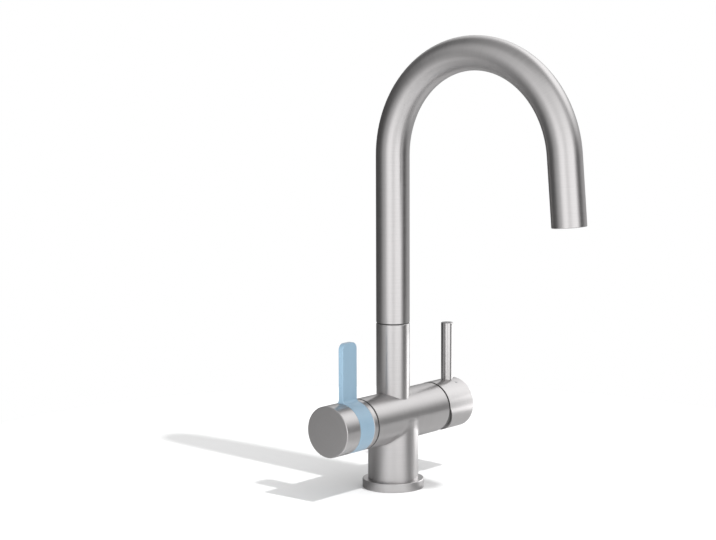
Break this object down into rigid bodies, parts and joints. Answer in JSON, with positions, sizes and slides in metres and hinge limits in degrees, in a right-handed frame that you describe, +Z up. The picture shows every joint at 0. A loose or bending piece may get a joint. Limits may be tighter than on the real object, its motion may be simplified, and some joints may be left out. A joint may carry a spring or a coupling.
{
  "type": "three way filtered water tap",
  "caption": "Deck mounted kitchen tap with a swivelling swan neck spout, a single lever mixer and a separate quarter turn lever for filtered water.",
  "frame": {"origin": "centre of the base flange's underside, on the worktop", "axes": "+Z up; X along the cross body, mixer knob at +X and filter lever at -X; the spout points along -Y, towards the user"},
  "size_m": [0.1704, 0.2158, 0.4365],
  "materials": {
    "brushed_steel": "fine satin brushing",
    "cross_steel": "fine satin brushing round the tube",
    "spout_steel": "fine satin brushing round the tube",
    "knob_steel": "satin turned",
    "cap_steel": "satin turned",
    "ring_steel": "satin turned",
    "pin_steel": "satin brushed rod",
    "dome_steel": "dark grey satin",
    "fixing_steel": "plain stainless",
    "aerator_metal": "plated",
    "brass": "as turned",
    "blue_plastic": "light blue, satin",
    "white_plastic": "natural acetal",
    "grey_plastic": "dark grey acetal",
    "index_mark": "dark inset",
    "rubber": "black moulded",
    "ceramic_disc": "lapped alumina",
    "water_hose": "food grade polyethylene"
  },
  "bodies": {
    "root": {"cross_body": "cross_steel", "column": "brushed_steel", "neck": "brushed_steel", "base_flange": "brushed_steel", "base_seal": "rubber", "threaded_shank": "brass", "clamp_seal": "rubber", "clamp_washer": "fixing_steel", "lock_nut": "brass", "hose_plate": "brass", "way_plate": "brass", "block_screw_pair": "fixing_steel", "valve_core": "brass", "filter_riser": "brass", "riser_o_ring": "rubber", "cartridge_base": "white_plastic", "cartridge_housing": "white_plastic", "fixed_disc": "ceramic_disc", "cartridge_nut": "brass", "dome_cover": "dome_steel", "valve_body": "brass", "valve_fixed_disc": "ceramic_disc", "bearing_ring": "grey_plastic", "slide_ring": "grey_plastic", "latch_screw": "fixing_steel"},
    "mixer_rotor": {"cartridge_rotor": "white_plastic", "pivot_pin": "fixing_steel"},
    "flow_disc": {"moving_disc": "ceramic_disc", "disc_driver": "white_plastic"},
    "mixer_handle": {"cartridge_stem": "fixing_steel", "mixer_knob": "knob_steel", "pin_lever": "pin_steel", "knob_grub_screw": "fixing_steel", "index_dot": "index_mark"},
    "filter_handle": {"valve_spindle": "brass", "valve_turned_disc": "ceramic_disc", "lever_hub": "ring_steel", "filter_lever": "blue_plastic", "end_cap": "cap_steel", "cap_o_ring": "rubber", "hub_screw": "fixing_steel"},
    "spout": {"spout_tube": "spout_steel", "swivel_nipple": "brass", "nipple_o_rings": "rubber", "guide_rings": "white_plastic", "filter_hose": "water_hose", "aerator_holder": "aerator_metal", "aerator_screen": "grey_plastic", "filter_nozzle": "white_plastic"}
  },
  "joints": [
    {"name": "spout_swivel", "type": "hinge", "parent": "root", "child": "spout", "pos_m": [0, 0, 0.14], "axis": [0, 0, 1], "continuous": true},
    {"name": "temperature_turn", "type": "hinge", "parent": "root", "child": "mixer_rotor", "pos_m": [0.0535, 0, 0.06], "axis": [1, 0, 0], "range_deg": [-45, 45]},
    {"name": "flow_tilt", "type": "hinge", "parent": "mixer_rotor", "child": "mixer_handle", "pos_m": [0.0535, 0, 0.06], "axis": [0, 1, 0], "range_deg": [0, 23]},
    {"name": "flow_disc_slide", "type": "slide", "parent": "mixer_rotor", "child": "flow_disc", "axis": [0, 0, 1], "range_m": [0, 0.0056]},
    {"name": "filter_turn", "type": "hinge", "parent": "root", "child": "filter_handle", "pos_m": [-0.06, 0, 0.06], "axis": [1, 0, 0], "range_deg": [0, 90]}
  ],
  "couplings": [
    {"joint": "flow_disc_slide", "follows": "flow_tilt", "m_per_rad": 0.013919}
  ]
}
